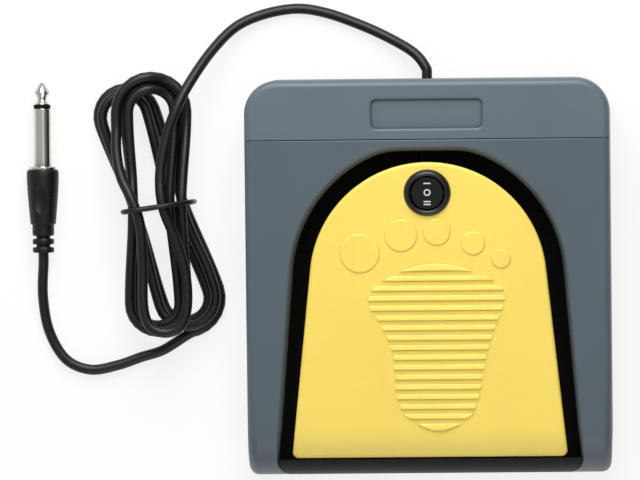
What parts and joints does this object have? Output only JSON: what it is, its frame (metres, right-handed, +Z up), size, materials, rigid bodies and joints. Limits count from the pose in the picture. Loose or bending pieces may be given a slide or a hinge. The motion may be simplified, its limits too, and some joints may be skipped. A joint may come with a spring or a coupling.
{
  "type": "sustain pedal",
  "caption": "Foot-operated sustain pedal: hinged foot plate in a sloped two-part housing, with a polarity rocker switch and a corded jack plug.",
  "frame": {"origin": "on the floor under the middle of the housing", "axes": "+Z up, +Y to the rear where the cord leaves, +X to the right of the player"},
  "size_m": [0.2145, 0.1729, 0.0401],
  "materials": {
    "shell_grey": "fine moulded texture, satin",
    "cover_grey": "fine moulded texture, satin",
    "base_black": "matt",
    "plate_yellow": "satin moulded",
    "switch_black": "satin",
    "steel": "bright",
    "contact_brass": "tinned",
    "nickel": "polished nickel",
    "soft_rubber": "matt",
    "cord_black": "satin vinyl",
    "grip_black": "soft moulded vinyl",
    "wire_red": "vinyl",
    "plunger_red": "satin"
  },
  "bodies": {
    "root": {"base_tray": "base_black", "top_shell": "shell_grey", "rear_cover": "cover_grey", "hinge_pin": "steel", "return_springs": "steel", "stop_pads": "soft_rubber", "rocker_wires": "wire_red", "switch_body": "switch_black", "switch_terminals": "contact_brass", "switch_screws": "steel", "switch_wire": "cord_black", "cable_clamp": "base_black", "clamp_screws": "steel", "case_screws": "steel", "rubber_feet": "soft_rubber", "cord_lead": "cord_black", "cord_hank": "cord_black", "cord_tail": "cord_black", "cord_tie": "cord_black", "plug_tip": "nickel", "plug_insulator": "base_black", "plug_sleeve": "nickel", "plug_collar": "nickel", "plug_grip": "grip_black"},
    "pedal": {"pedal_plate": "plate_yellow", "rocker_housing": "switch_black", "rocker_terminals": "contact_brass"},
    "rocker": {"rocker_button": "switch_black"},
    "lever": {"switch_lever": "steel"},
    "plunger": {"switch_plunger": "plunger_red"}
  },
  "joints": [
    {"name": "pedal_press", "type": "hinge", "parent": "root", "child": "pedal", "pos_m": [0, -0.054, 0.009], "axis": [-1, 0, 0], "range_deg": [0, 5], "stiffness_Nm_per_rad": 8, "springref_deg": -7.16, "deforming": ["return_springs", "rocker_wires"]},
    {"name": "rocker_tilt", "type": "hinge", "parent": "pedal", "child": "rocker", "pos_m": [0, 0.03034, 0.03755], "axis": [1, 0, 0], "range_deg": [-10, 10]},
    {"name": "lever_press", "type": "hinge", "parent": "root", "child": "lever", "pos_m": [0, -0.028, 0.0201], "axis": [-1, 0, 0], "range_deg": [0, 14.2]},
    {"name": "plunger_press", "type": "slide", "parent": "root", "child": "plunger", "axis": [0, 0, -1], "range_m": [0, 0.00165]}
  ],
  "couplings": [
    {"joint": "lever_press", "follows": "pedal_press", "ratio": 2.8},
    {"joint": "plunger_press", "follows": "pedal_press", "m_per_rad": 0.0183}
  ]
}
